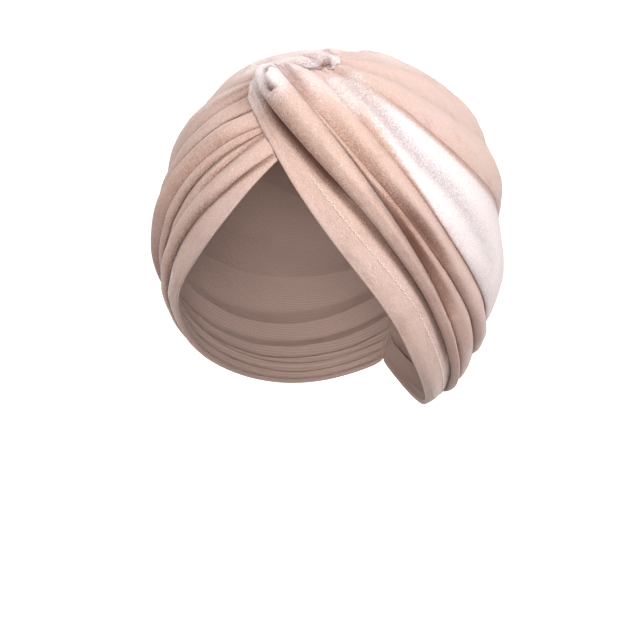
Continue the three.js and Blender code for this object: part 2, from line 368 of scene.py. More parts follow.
def lengths(points, axis):
    """Distance travelled over a row or a grid of points along one axis."""
    steps = np.linalg.norm(np.diff(points, axis=axis), axis=-1)
    start = np.zeros_like(np.take(steps, [0], axis=axis))
    return np.cumsum(np.concatenate([start, steps], axis=axis), axis=axis)


for cloth_panel in (LEFT, RIGHT):
    rim = on_fold_line(fold_plane(cloth_panel, np.zeros(60)), np.linspace(0, 1, 60))
    print(cloth_panel["name"], "rim on the form:", round(float(lengths(rim, 0)[-1])), "mm")

# %% [markdown]
# ## The folds
# Each row is a fold, from the rim up, read at five stations along it: its upper crease as a
# share across, how high it stands between its creases, how deep its upper crease's floor is, how
# soft that crease is (0 is a sharp valley, 1 a gentle wave) and how far the cloth above it hangs
# over it. Heights are in mm. Numbers in rows are easier to correct by eye than sculpted cloth.

# %% Write down the folds
STATIONS = [0, 0.1, 0.3, 0.6, 1]
# what a row that says neither has: a crisp crease, and the cloth's ordinary overhang in mm
CRISP = [0, 0, 0, 0, 0]
OVERHANG = [0.6, 0.8, 1.0, 1.0, 0.6]
LEFT["folds"] = [
    {"edge": [0.10, 0.15, 0.255, 0.285, 0.20], "height": [0.6, 0.8, 1, 1.5, 1.5],
     "floor": [0.5, 0, 0, 0, 0], "over": [1, 3, 3, 2.5, 1]},
    {"edge": [0.26, 0.295, 0.34, 0.365, 0.33], "height": [4, 7.5, 6, 5, 4],
     "floor": [3, 4, 2, 1, 0], "over": [0, -0.6, 0.5, 2, 1]},
    {"edge": [0.263, 0.30, 0.405, 0.52, 0.47], "height": [0.3, 0.3, 4, 5, 4],
     "floor": [3, 4, 3, 1.5, 0], "soft": [1, 0.8, 0.2, 0, 0], "over": [0, 0, -0.8, 0.8, 1]},
    {"edge": [0.44, 0.47, 0.56, 0.64, 0.60], "height": [2, 3, 4, 5, 4],
     "floor": [2, 3, 3.5, 3, 1.5], "soft": [1, 1, 0.5, 0.1, 0]},
    {"edge": [0.62, 0.70, 0.745, 0.78, 0.76], "height": [2, 2.5, 3, 4, 4],
     "floor": [1, 2, 3, 2, 1], "soft": [1, 0.9, 0.4, 0.3, 0.3]},
    {"edge": [0.74, 0.79, 0.81, 0.84, 0.85], "height": [1.5, 2, 1.6, 2.6, 4],
     "floor": [0.5, 0.8, 0.5, 0.8, 1], "soft": [1, 1, 1, 0.8, 0.4]},
    {"edge": [0.86, 0.89, 0.91, 0.91, 0.91], "height": [1.5, 1.6, 1.2, 2.4, 4],
     "floor": [0, 0.3, 0.3, 0.8, 1], "soft": [1, 1, 1, 0.8, 0.4]},
    {"edge": [1, 1, 1, 1, 1], "height": [1, 1.2, 1.2, 2, 3], "floor": [0, 0, 0, 0, 0]},
]
RIGHT["folds"] = [
    {"edge": [0.02, 0.09, 0.155, 0.16, 0.15], "height": [0.3, 0.6, 1, 1.5, 1.5],
     "floor": [0, 0, 0, 0, 0], "over": [0.5, 1.5, 2, 2, 1]},
    {"edge": [0.185, 0.19, 0.26, 0.30, 0.28], "height": [1.5, 2.5, 4, 4, 4],
     "floor": [0, 0, 0, 0, 0], "over": [0.5, 1, 1.4, 1.6, 1]},
    {"edge": [0.205, 0.24, 0.29, 0.34, 0.36], "height": [0.8, 1.5, 1.5, 3, 4],
     "floor": [0, 0.5, 0.5, 1, 0], "soft": [0, 0, 0, 0.4, 0.3], "over": [0.5, 0.8, 1.4, 1, 1]},
    {"edge": [0.23, 0.30, 0.37, 0.44, 0.46], "height": [0.8, 2, 2, 3, 4],
     "floor": [0.5, 1.5, 2, 2, 0], "soft": [0.2, 0.6, 1, 0.8, 0.3]},
    {"edge": [0.42, 0.445, 0.50, 0.56, 0.60], "height": [2, 5, 5, 4, 4],
     "floor": [0, 1, 1.5, 2, 0], "soft": [0.6, 0, 0.7, 1, 0.3]},
    {"edge": [0.62, 0.62, 0.66, 0.70, 0.72], "height": [0.5, 2, 2, 3.5, 4],
     "floor": [0, 1, 1, 1, 0], "soft": [0.4, 0.9, 1, 0.8, 0.3]},
    {"edge": [0.74, 0.74, 0.77, 0.80, 0.82], "height": [2, 3, 1.5, 3.5, 4],
     "floor": [1, 1.6, 0.3, 0.6, 0], "soft": [0.3, 0.5, 1, 0.8, 0.3]},
    {"edge": [0.86, 0.87, 0.88, 0.90, 0.91], "height": [2.5, 3, 1.2, 3, 4],
     "floor": [1, 1.4, 0.2, 1, 1], "soft": [0.3, 0.5, 1, 0.8, 0.3]},
    {"edge": [1, 1, 1, 1, 1], "height": [0.5, 1, 1.2, 2.5, 3], "floor": [0, 0, 0, 0, 0]},
]
print("folds:", len(LEFT["folds"]), "left and", len(RIGHT["folds"]), "right")

# %% [markdown]
# ## Short creases and pits
# Between its long folds, cloth that is pulled through a twist has short creases, small rolls and
# a few deep pits. Each is a path over the cloth that presses it in, or lifts it as a ridge. This
# is easier to place than simulated cloth, which would wrinkle somewhere else each time.

# %% Write down the short creases
# the cloth points (across, along) that each passes, its depth and width in mm, and how much painted shade it
# puts into the pile; past 1 its middle also gets the dark painted shade of a crease. A negative depth is a
# ridge.
CREASES = {
    "left_panel": [
        ([(0.245, 0.028), (0.222, 0.026), (0.205, 0.034), (0.203, 0.044)], 2.6, 1.0, 2.6),
        ([(0.176, 0.052), (0.184, 0.066), (0.203, 0.070)], 2.8, 1.1, 2.3),
        ([(0.235, 0.034), (0.215, 0.045), (0.212, 0.060)], -1.6, 2.0, 0),
        ([(0.16, 0.01), (0.150, 0.035), (0.155, 0.07)], -1.0, 1.8, 0),
        ([(0.11, 0.07), (0.12, 0.025), (0.18, 0.006), (0.25, 0.005), (0.285, 0.03), (0.292, 0.09)],
         1.1, 1.0, 0.8),
        ([(0.03, 0.0), (0.045, 0.03), (0.03, 0.10)], 1.0, 1.0, 0.4),
        ([(0.07, 0.0), (0.085, 0.03), (0.07, 0.10)], 1.1, 1.1, 0.4),
        ([(0.12, 0.0), (0.13, 0.02), (0.12, 0.06)], 1.0, 1.2, 0.3),
        ([(0.29, 0.0), (0.305, 0.03), (0.31, 0.08)], 1.2, 1.6, 0.3),
        ([(0.335, 0.24), (0.358, 0.29), (0.368, 0.36), (0.372, 0.50)], 4.2, 3.0, 1.9),
        ([(0.385, 0.30), (0.40, 0.36), (0.41, 0.46)], -1.0, 3.4, 0),
        ([(0.40, 0.26), (0.435, 0.32), (0.475, 0.40)], 3.4, 3.0, 1.5),
        ([(0.335, 0.12), (0.36, 0.20), (0.40, 0.26)], 1.6, 4.0, 0.6),
        ([(0.113, 0.05), (0.128, 0.08), (0.152, 0.125), (0.187, 0.20), (0.215, 0.25)], 3.0, 3.2, 2.8),
        ([(0.16, 0.17), (0.212, 0.28), (0.238, 0.38), (0.25, 0.5), (0.25, 0.6)], 2.2, 2.2, 1.6),
        ([(0.61, 0.04), (0.63, 0.12), (0.648, 0.22), (0.68, 0.33), (0.69, 0.52)], 2.8, 4.6, 1.0),
        ([(0.52, 0.0), (0.55, 0.05)], 1.2, 1.5, 0.3),
    ],
    "right_panel": [
        ([(0.02, 0.01), (0.09, 0.10), (0.135, 0.19), (0.155, 0.3), (0.16, 0.5)], 1.2, 1.6, 1.6),
        ([(0.205, 0.02), (0.24, 0.10), (0.265, 0.20), (0.285, 0.3), (0.30, 0.45)], 1.2, 1.6, 1.5),
        ([(0.185, 0.0), (0.187, 0.08), (0.205, 0.15)], 1.0, 1.4, 1.5),
        ([(0.195, 0.0), (0.205, 0.05), (0.21, 0.10)], 0.9, 0.8, 0.5),
        ([(0.215, 0.0), (0.245, 0.05), (0.27, 0.10)], 0.8, 0.8, 0.4),
        ([(0.41, 0.04), (0.43, 0.08), (0.44, 0.14), (0.455, 0.21)], 1.8, 1.5, 1.7),
        ([(0.33, 0.09), (0.36, 0.14), (0.37, 0.2)], 1.2, 3.5, 0.3),
        ([(0.665, 0.03), (0.675, 0.08), (0.68, 0.16)], 2.2, 1.5, 1.0),
        ([(0.70, 0.0), (0.705, 0.04), (0.72, 0.12)], 2.2, 1.4, 1.0),
        ([(0.74, 0.0), (0.755, 0.04), (0.75, 0.10)], 2.4, 1.5, 1.1),
        ([(0.79, 0.0), (0.785, 0.03), (0.80, 0.09), (0.79, 0.18)], 3.0, 1.3, 1.3),
        ([(0.84, 0.01), (0.855, 0.05), (0.85, 0.14)], 2.6, 1.3, 1.15),
        ([(0.90, 0.0), (0.89, 0.05), (0.90, 0.10)], 2.2, 1.6, 0.9),
        ([(0.762, 0.008), (0.772, 0.030)], 6, 4.2, 3.0),
    ],
}
print("short creases:", {name: len(rows) for name, rows in CREASES.items()})

# %% [markdown]
# ## Pressing a path into the cloth
# A path becomes a line of points on the head form. Each point of the sheet then sinks by how
# near it is to that line, so a crease has soft sides and fades out at both ends.

# %% Press in the short creases
# points on the form for each path
PATH_POINTS = 12
# how far into the half wave of its depth a short crease starts, and how much of that wave it runs through
TAPER_START = 0.12
TAPER_RUN = 0.76


def to_path(points, path):
    """Distance from each point to a path, and how far along the path it is nearest, from 0 to 1."""
    best, share = np.full(points.shape[:-1], 1e9), np.zeros(points.shape[:-1])
    for k, (a, b) in enumerate(zip(path[:-1], path[1:])):
        t = np.clip(((points - a) @ (b - a)) / ((b - a) @ (b - a)), 0, 1)
        away = np.linalg.norm(points - a - t[..., None] * (b - a), axis=-1)
        nearer = away < best
        best, share = np.where(nearer, away, best), np.where(nearer, (k + t) / (len(path) - 1), share)
    return best, share


def along_path(path, count):
    """Shares across and along at even steps of a smooth path through these cloth points."""
    stops, steps = np.linspace(0, 1, len(path)), np.linspace(0, 1, count)
    return (smooth_through(stops, [p[k] for p in path], steps) for k in (0, 1))


def form_path(panel, path):
    """Points on the head form along a smooth path through these cloth points."""
    across, along = along_path(path, PATH_POINTS)
    return on_fold_line(fold_plane(panel, across), along)


def short_creases(panel, grid):
    """What the short creases add to the cloth's height in mm, and how much painted shade they put into the
    pile.
    """
    more, painted_shade = np.zeros_like(grid["across"]), np.zeros_like(grid["across"])
    for path, depth, width, shade in CREASES[panel["name"]]:
        away, share = to_path(grid["point"], form_path(panel, path))
        taper = np.sin(np.pi * np.clip(TAPER_START + TAPER_RUN * share, 0, 1))
        press = taper * np.exp(-((away / width) ** 2))
        more -= depth * press
        # painted shade along the crease
        painted_shade = np.maximum(painted_shade, shade * press)
    return more, painted_shade


first_crease = form_path(LEFT, CREASES["left_panel"][0][0])
print("the first crease is", round(float(lengths(first_crease, 0)[-1]), 1), "mm long")

# %% [markdown]
# ## Gathers, drifts and dents
# Stretch velvet is never quite smooth. It gathers in fine ridges at the twist and at the back
# seam, drifts in slow waves over the head, and keeps small dents. Noise on the cloth's own
# coordinates gives all three, and a fixed seed brings back the same cloth each time.

# %% Roughen the cloth
# cells of the noise before it repeats
LATTICE = 64
# gathers: height in mm, how many across and along, how far they reach from the twist and from the seam as
# shares along, how much taller they are at the seam, and the least of them that is left between
GATHER = {
    "height": 0.55, "count": 46, "waves": 7, "twist_reach": 0.09, "seam_reach": 0.13, "seam_share": 2.6,
    "between": 0.16,
}
# finer gathers on top: their share, how much closer they lie, how far they are shifted, how many along
FINE_GATHER = {"share": 0.5, "closer": 2.1, "shift": 9, "waves": 11}
# where gathers are weak and strong: the least strength, what is added, and the patches across and along
PATCHES = {"least": 0.6, "swing": 0.4, "across": 8, "along": 6}
# slow waves and small dents: height and size in mm, and how much longer they are along the folds
DRIFT = {"height": 0.8, "size": 34, "longer": 1.7}
DENTS = {"height": 0.22, "size": 9, "longer": 1.6}


def soft_noise(x, y, seed):
    """Smooth noise from -1 to 1 on a lattice that repeats."""
    lattice = np.random.default_rng(seed).uniform(-1, 1, (LATTICE, LATTICE))
    i, j = np.floor(x).astype(int), np.floor(y).astype(int)
    u, v = x - i, y - j
    u, v = (t * t * t * (t * (6 * t - 15) + 10) for t in (u, v))
    at = lambda a, b: lattice[a % LATTICE, b % LATTICE]
    low = at(i, j) * (1 - u) + at(i + 1, j) * u
    high = at(i, j + 1) * (1 - u) + at(i + 1, j + 1) * u
    return low * (1 - v) + high * v


def small_relief(grid, seed):
    """What gathers, drifts and dents add to the cloth's height, in mm, one after the other."""
    across, along = grid["across"], grid["along"]
    at_seam = GATHER["seam_share"] * np.exp(-(1 - along) / GATHER["seam_reach"])
    reach = np.exp(-along / GATHER["twist_reach"]) + at_seam
    ridges = soft_noise(across * GATHER["count"], along * GATHER["waves"], seed)
    closer = across * GATHER["count"] * FINE_GATHER["closer"] + FINE_GATHER["shift"]
    ridges += FINE_GATHER["share"] * soft_noise(closer, along * FINE_GATHER["waves"], seed + 1)
    patches = soft_noise(across * PATCHES["across"], along * PATCHES["along"], seed + 2)
    strength = PATCHES["least"] + PATCHES["swing"] * patches
    yield GATHER["height"] * ridges * np.maximum(reach, GATHER["between"]) * strength
    for step, wave in enumerate((DRIFT, DENTS)):
        down = grid["down"] / wave["size"] * wave["longer"]
        yield wave["height"] * soft_noise(grid["length"] / wave["size"], down, seed + 3 + step)


print("gathers across a panel:", GATHER["count"], "waves every", DRIFT["size"], "mm")

# %% [markdown]
# ## Brushed pile and painted sheen
# Velvet whose pile is brushed over shines pale. That sheen is painted into the colour here: one whole
# fold over the ear gets painted sheen, and so do the cloth at the twist and some strokes near it.
# They are written down like the creases, and the velvet's material reads them later.

# %% Paint sheen on the brushed pile
# the fold that gets painted sheen as a whole: its number, and at the five stations how much sheen it gets and
# how softly the sheen starts above its lower crease, as a share of the fold
PALE_SHEEN_FOLD = {
    "panel": "left_panel", "fold": 4,
    "amount": [0.25, 0.5, 0.98, 0.88, 0.05], "soft": [0.6, 0.5, 0.22, 0.06, 0.5],
}
# the share of that fold over which its painted sheen ends at its upper crease
PALE_SHEEN_TOP = 0.12
# single strokes of painted sheen: the cloth points that each passes, its half width in mm and its strength
PALE_SHEEN_STROKES = {
    "left_panel": [
        ([(0.06, -0.01), (0.17, 0.02), (0.28, -0.01)], 10, 0.8),
        ([(0.205, -0.06), (0.20, 0.035), (0.19, 0.125)], 7.5, 0.72),
        ([(0.02, -0.03), (0.03, 0.03), (0.04, 0.085)], 4.5, 0.5),
        ([(0.35, -0.02), (0.40, 0.05), (0.45, 0.16)], 9, 0.42),
        ([(0.56, 0.02), (0.60, 0.10), (0.63, 0.17)], 14, 0.55),
        ([(0.92, -0.05), (0.91, 0.22), (0.90, 0.45), (0.88, 0.95)], 13, 0.45),
    ],
    "right_panel": [
        ([(0.705, -0.08), (0.705, 0.03), (0.71, 0.15)], 9, 0.7),
        ([(0.80, -0.08), (0.79, 0.10), (0.80, 0.32)], 12, 0.55),
        ([(0.94, -0.08), (0.93, 0.10), (0.93, 0.30)], 17, 0.6),
    ],
}
# the shares of a stroke over which it starts and ends, and how squarely its sides end
STROKE_START = 0.25
STROKE_END = 0.45
STROKE_SIDES = 4


def brushed_pile_sheen(panel, grid):
    """How much painted sheen the brushed pile gets, from 0 to 1, with soft edges."""
    pale = np.zeros_like(grid["across"])
    if panel["name"] == PALE_SHEEN_FOLD["panel"]:
        amount, soft = (smooth_through(STATIONS, PALE_SHEEN_FOLD[key], grid["along"]) for key in ("amount", "soft"))
        share = grid["share"] - PALE_SHEEN_FOLD["fold"]
        pale = amount * ease_between(share, 0, soft) * ease_between(1 - share, 0, PALE_SHEEN_TOP)
    for path, width, strength in PALE_SHEEN_STROKES[panel["name"]]:
        away, share = to_path(grid["point"], form_path(panel, path))
        ends = ease_between(share, 0, STROKE_START) * ease_between(1 - share, 0, STROKE_END)
        pale = np.maximum(pale, strength * ends * np.exp(-((away / width) ** STROKE_SIDES)))
    return pale


print("pale strokes:", {name: len(rows) for name, rows in PALE_SHEEN_STROKES.items()})

# %% [markdown]
# ## The rows of a fold
# Every fold rises between two creases and leans towards the rim, so that it shades the crease
# below it. The rows of the sheet lie close together at the creases, where the cloth turns
# sharply, and further apart on the backs of the folds.

# %% Turn the folds into rows of the sheet
ROWS_PER_FOLD = 19
# how square a crisp fold's back is, and how high the cloth's inner face follows it
BLUNTNESS = 2.4
INNER_RISE = 0.9
# a fold of this height in mm gets full painted shade in its creases and hollows
FULL_SHADE_HEIGHT = 4
# the share of a fold that gets painted crease shade, and how fast the painted shade of the crease and of the
# valley beside it fades
CREASE_SHADE_SHARE = 0.12
CREASE_SHADE_BEND = 1.5
HOLLOW_SHADE_BEND = 3.5
# where on a fold the overhanging lip is and how wide, as shares, and the same for the tuck below it
LIP_AT = 0.15
LIP_WIDTH = 0.12
TUCK = 0.6
TUCK_WIDTH = 0.07


def fold_rows(panel, along):
    """The sheet's rows from rim to crown: where they lie and what the folds do there."""
    made = {key: [] for key in ("across", "share", "outer", "inner", "over", "crease", "hollow")}
    low = {key: 0 * along for key in ("edge", "floor", "soft", "over")}
    for fold, row in enumerate(panel["folds"]):
        row = {"soft": CRISP, "over": OVERHANG, **row}
        high = {key: smooth_through(STATIONS, values, along) for key, values in row.items()}
        high["over"] = high["over"] * (1 - high["soft"])
        shares = 0.5 - 0.5 * np.cos(np.pi * np.linspace(0, 1, ROWS_PER_FOLD))
        for share in shares[0 if fold == 0 else 1:]:
            centred = abs(2 * share - 1)
            base = low["floor"] + (high["floor"] - low["floor"]) * share
            soft = low["soft"] if share < 0.5 else high["soft"]
            crisp = 1 - centred**BLUNTNESS
            wave = 0.5 + 0.5 * math.cos(math.pi * centred)
            lips = [math.exp(-(((s - LIP_AT) / LIP_WIDTH) ** 2)) for s in (share, 1 - share)]
            tucks = [TUCK * math.exp(-((s / TUCK_WIDTH) ** 2)) for s in (share, 1 - share)]
            hang = np.maximum(low["over"], 0) * lips[0] + np.minimum(high["over"], 0) * lips[1]
            # how much painted shade this row gets: in the crease, none where the crease is soft, and over the
            # valley, full from a fold of that height up
            full = np.minimum(1, high["height"] / FULL_SHADE_HEIGHT) * (1 if fold or share > 0.5 else 0)
            crease_shade = full * max(0, 1 - (1 - centred) / CREASE_SHADE_SHARE) ** CREASE_SHADE_BEND
            made["across"].append(low["edge"] + (high["edge"] - low["edge"]) * share)
            made["share"].append(fold + share + 0 * along)
            made["outer"].append(base + high["height"] * (crisp + (wave - crisp) * soft))
            made["inner"].append(base + high["height"] * (1 - centred) * INNER_RISE)
            made["over"].append(hang - low["over"] * tucks[0] - high["over"] * tucks[1])
            made["crease"].append(crease_shade * (1 - soft))
            made["hollow"].append(full * centred**HOLLOW_SHADE_BEND)
        low = high
    return {key: np.array(rows) for key, rows in made.items()}


for cloth_panel in (LEFT, RIGHT):
    print(cloth_panel["name"], "rows:", len(fold_rows(cloth_panel, np.array(STATIONS, float))["across"]))

# %% [markdown]
# ## The sheet's grid
# The rows are laid on the head form along the fold lines, close together at the twist. Each
# point keeps its way out of the form, its way along the fold and its way to the rim, and the
# distances travelled over the cloth, which the fibres of the material follow.

# %% Lay a sheet's grid on the form
# the columns from twist to seam, and how much closer they lie at the twist
COLUMNS = 220
CROWDING = 1.4
# a small step along that feels a line's direction
NUDGE = 0.01
# the share along over which a panel's end at the twist is rounded off, and over which its lift fades
NOSE = 0.07
LIFT_LENGTH = 0.13


def sheet_grid(panel, seed):
    """The sheet's grid on the head form: where it lies, which way is out, and its rise."""
    along = np.linspace(0, 1, COLUMNS) ** CROWDING
    made = fold_rows(panel, along)
    across = made["across"]
    along = np.broadcast_to(along, across.shape)
    plane = fold_plane(panel, across)
    point = on_fold_line(plane, along)
    normal = form_normal(point)
    run = unit(on_fold_line(plane, along + NUDGE) - on_fold_line(plane, along - NUDGE))
    rest = 1 - np.minimum(1, along / NOSE)
    for key in ("outer", "inner", "over"):
        made[key] = made[key] * np.sqrt(1 - rest * rest)
    made |= {
        "along": along, "point": point, "normal": normal, "run": run,
        "to_rim": unit(np.cross(run, normal)) * panel["side"],
        "lift": read_lay(panel, "lift", across) * (1 - ease_between(along, 0, LIFT_LENGTH)),
        "down": lengths(point, 0), "length": lengths(point, 1),
    }
    finer, painted_shade = short_creases(panel, made)
    for relief in small_relief(made, seed):
        finer += relief
    made["finer"] = finer
    # the short creases add painted shade to the hollows and, past 1, to the creases; the brushed pile gets
    # painted sheen
    made["hollow"] = np.clip(made["hollow"] + painted_shade, 0, 1)
    made["crease"] = np.maximum(made["crease"], np.clip(painted_shade - 1, 0, 1))
    made["nap"] = brushed_pile_sheen(panel, made)
    return made


left_grid = sheet_grid(LEFT, seed=11)
right_grid = sheet_grid(RIGHT, seed=23)
print("grids:", left_grid["across"].shape, "and", right_grid["across"].shape)

# %% [markdown]
# ## Rounded edges
# Velvet has no sharp edge: its pile turns round the rim. So each side of the sheet ends in a half
# round, built as a few more rows or columns on both faces at once.

# %% Round off one side of a sheet
# the half round of an edge: its steps on each side, its reach in mm and its turn on each side in degrees
EDGE_STEPS = 4
EDGE_ROUND = 0.9
EDGE_TURN = 85


def rounded_edge(outer, inner, way, at_start, axis):
    """Adds a half round to one side of the sheet's grid."""
    edge = 0 if at_start else -1
    o, i, w = (np.take(a, [edge], axis=axis) for a in (outer, inner, way))
    mid, half = (o + i) / 2, (o - i) / 2
    more = []
    for step in range(1, EDGE_STEPS + 1):
        a = math.radians(EDGE_TURN) * step / EDGE_STEPS
        aside, out = half * math.cos(a), w * EDGE_ROUND * math.sin(a)
        more.append((mid + aside + out, mid - aside + out))
    if at_start:
        more.reverse()
        parts = [m[0] for m in more] + [outer], [m[1] for m in more] + [inner]
    else:
        parts = [outer] + [m[0] for m in more], [inner] + [m[1] for m in more]
    return np.concatenate(parts[0], axis=axis), np.concatenate(parts[1], axis=axis)


print("an edge has", 2 * EDGE_STEPS, "steps and reaches", EDGE_ROUND, "mm")

# %% [markdown]
# ## How high the cloth stands
# Velvet is about 2 mm thick. The outer and the inner face are two heights above the head form,
# made from the folds. Towards the sewn seam the folds flatten and the cloth thins, and the left
# panel's end swells as it turns over the other.

# %% Give the cloth its thickness
CLOTH = 2.0
# the seam's width in mm; at the seam and added away from it, the shares of the folds and of the cloth
SEAM_WIDTH = 7.0
SEAM_FOLDS = (0.04, 0.96)
SEAM_CLOTH = (0.55, 0.45)
# the mm from the rim and from the seam over which the small relief grows, and its share on the inner face
CALM_AT_RIM = 4
CALM_AT_SEAM = 3
INNER_RELIEF = 0.6
# the least height of the outer face and the least thickness of the cloth, in mm
LEAST_HEIGHT = 0.9
LEAST_CLOTH = 0.8
# how far the rounded end of the left panel swells past its start line and above the other panel, in mm
SWELL = {"across": [0, 0.08, 0.18, 0.30, 0.45, 1], "past": [1, 3, 4, 3, 0, 0], "above": [0, 2.5, 4, 3, 0, 0]}
# the shares along over which the swelling fades, and how much of it the inner face has
SWELL_REACH = {"past": 0.045, "above": 0.09}
INNER_SWELL = 0.5


def swell(panel, grid, column):
    """The extra size of the left panel's end at the twist."""
    if panel["side"] < 0:
        return np.zeros_like(grid["across"])
    size = smooth_through(SWELL["across"], SWELL[column], grid["across"])
    return size * np.exp(-((grid["along"] / SWELL_REACH[column]) ** 2))


def face_heights(panel, grid, seam, grow):
    """How high the outer and the inner face stand above the head form, in mm."""
    open_fold = ease_between(seam, 0, SEAM_WIDTH)
    folds = SEAM_FOLDS[0] + SEAM_FOLDS[1] * open_fold
    cloth = CLOTH * (SEAM_CLOTH[0] + SEAM_CLOTH[1] * open_fold)
    calm = ease_between(grid["down"], 0, CALM_AT_RIM) * ease_between(seam, 0, CALM_AT_SEAM)
    above = swell(panel, grid, "above")
    outer = grid["lift"] + above + grid["outer"] * folds + cloth + grid["finer"] * calm
    outer = np.maximum(LEAST_HEIGHT, outer) + grow
    inner = grid["lift"] + INNER_SWELL * above + grid["inner"] * folds
    inner = inner + INNER_RELIEF * grid["finer"] * calm - grow
    return outer, np.clip(inner, 0, outer - LEAST_CLOTH)


far_from_seam = np.full_like(left_grid["down"], 2 * SEAM_WIDTH)
left_height = face_heights(LEFT, left_grid, far_from_seam, 0)[0]
print("the left panel's folds stand up to", round(float(left_height.max()), 1), "mm above the form")

# %% [markdown]
# ## The cloth's two faces
# Each height becomes a point out from the head form, moved towards the rim because the folds
# lean that way. At the seam the last column and row stand straight beside the middle of the head,
# so the two panels meet there with only a hair's gap.

# %% Place both faces
# folds lean this share of their height towards the rim
LEAN = 0.45
# the gap at the seam, in mm
SEAM_GAP = 0.06


def towards_seam(panel, face):
    """The way across the seam, once for each point of the face."""
    way = np.zeros_like(face)
    way[..., 0] = -panel["side"]
    return way


def cloth_faces(panel, grid, grow=0.0):
    """The outer and the inner face of the sheet, with rounded edges, in mm, each grown by so much."""
    seam = np.minimum(grid["length"][:, -1:] - grid["length"], grid["down"][-1:] - grid["down"])
    past = swell(panel, grid, "past")

    def place(height, over):
        shift = LEAN * height + over
        spot = grid["point"] + grid["normal"] * height[..., None] + grid["to_rim"] * shift[..., None]
        spot -= grid["run"] * past[..., None]
        spot[:, 0] -= grid["run"][:, 0] * grow
        spot[0] += grid["to_rim"][0] * grow
        spot[:, -1, 0] = spot[-1, :, 0] = panel["side"] * (SEAM_GAP / 2 + EDGE_ROUND)
        return spot

    outer, inner = face_heights(panel, grid, seam, grow)
    outer, inner = place(outer, grid["over"] * ease_between(seam, 0, SEAM_WIDTH)), place(inner, 0)
    sideways = towards_seam(panel, outer)
    outer, inner = rounded_edge(outer, inner, grid["to_rim"], True, 0)
    outer, inner = rounded_edge(outer, inner, sideways, False, 0)
    stretch = np.pad(grid["run"], ((EDGE_STEPS, EDGE_STEPS), (0, 0), (0, 0)), mode="edge")
    outer, inner = rounded_edge(outer, inner, -stretch, True, 1)
    return rounded_edge(outer, inner, towards_seam(panel, outer), False, 1)


left_faces = cloth_faces(LEFT, left_grid)
right_faces = cloth_faces(RIGHT, right_grid)
print("rows and columns of a face:", left_faces[0].shape[:2], "and", right_faces[0].shape[:2])

# %% [markdown]
# ## Closed sheets
# Both faces become one closed mesh, so the sheet is a solid thing with an inside. Its points
# carry the cloth's own coordinates as attributes, and how much painted shade its creases and
# hollows get and how much painted sheen its brushed pile gets. A material that reads those
# follows the folds, which no flat projection would.

# %% Close each sheet
# what the material reads from the cloth: its coordinates, the painted shade of creases and hollows, and the
# painted sheen of brushed pile
CARRIED = ("across", "along", "down", "length", "crease", "hollow", "nap")


def smooth_object(name, points, faces):
    """A smooth-shaded object from points in mm."""
    mesh = bpy.data.meshes.new(name)
    mesh.from_pydata((points * MM).tolist(), [], faces)
    mesh.update()
    mesh.shade_smooth()
    made = bpy.data.objects.new(name, mesh)
    bpy.context.scene.collection.objects.link(made)
    return made


def closed_sheet(name, panel, grid, outer, inner):
    """A closed mesh from the two faces of a sheet, with the cloth's own coordinates on its points."""
    rows, columns = outer.shape[:2]
    first = np.arange(rows * columns).reshape(rows, columns)
    second = first + rows * columns
    corners = [
        (first[:-1, :-1], first[:-1, 1:], first[1:, 1:], first[1:, :-1]),
        (second[:-1, :-1], second[1:, :-1], second[1:, 1:], second[:-1, 1:]),
        (first[:-1, 0], first[1:, 0], second[1:, 0], second[:-1, 0]),
        (first[1:, -1], first[:-1, -1], second[:-1, -1], second[1:, -1]),
        (first[0, 1:], first[0, :-1], second[0, :-1], second[0, 1:]),
        (first[-1, :-1], first[-1, 1:], second[-1, 1:], second[-1, :-1]),
    ]
    faces = np.concatenate([np.stack(four, -1).reshape(-1, 4) for four in corners])
    if panel["side"] < 0:
        faces = faces[:, ::-1]
    points = np.concatenate([outer.reshape(-1, 3), inner.reshape(-1, 3)])
    made = smooth_object(name, points, faces.tolist())
    around = ((EDGE_STEPS, EDGE_STEPS), (EDGE_STEPS, EDGE_STEPS))
    carried = {key: np.tile(np.pad(grid[key], around, mode="edge").reshape(-1), 2) for key in CARRIED}
    carried["inside"] = np.repeat([0.0, 1.0], rows * columns)
    for key, values in carried.items():
        attribute = made.data.attributes.new(key, "FLOAT", "POINT")
        attribute.data.foreach_set("value", values.astype(np.float32))
    return made


left_sheet = closed_sheet("left_sheet", LEFT, left_grid, *left_faces)
right_sheet = closed_sheet("right_sheet", RIGHT, right_grid, *right_faces)
print("sheet points:", len(left_sheet.data.vertices), len(right_sheet.data.vertices))

# %% [markdown]
# ## Tuck one panel under the other
# At the twist the panels pass through each other. The part of the right panel that lies inside
# the left one, grown by a small gap, is cut away.

# %% Cut the right sheet where the left one lies
# the air between the two panels, in mm
GAP = 0.4
cutter = closed_sheet("cutter", LEFT, left_grid, *cloth_faces(LEFT, left_grid, GAP))
tuck = right_sheet.modifiers.new("tuck", "BOOLEAN")
tuck.operation = "DIFFERENCE"
tuck.solver = "MANIFOLD"
tuck.object = cutter
bpy.context.view_layer.update()
cut = bpy.data.meshes.new_from_object(right_sheet.evaluated_get(bpy.context.evaluated_depsgraph_get()))
right_sheet.modifiers.clear()
right_sheet.data = cut
bpy.data.objects.remove(cutter)
cut.validate()
print("right sheet after the cut:", len(cut.vertices), "points,", [a.name for a in cut.attributes])

# %% [markdown]
# ## Nodes in plain words
# A material's node tree is long to write socket by socket. This helper makes a node and joins it
# in one call, so that the velvet below reads as a recipe.

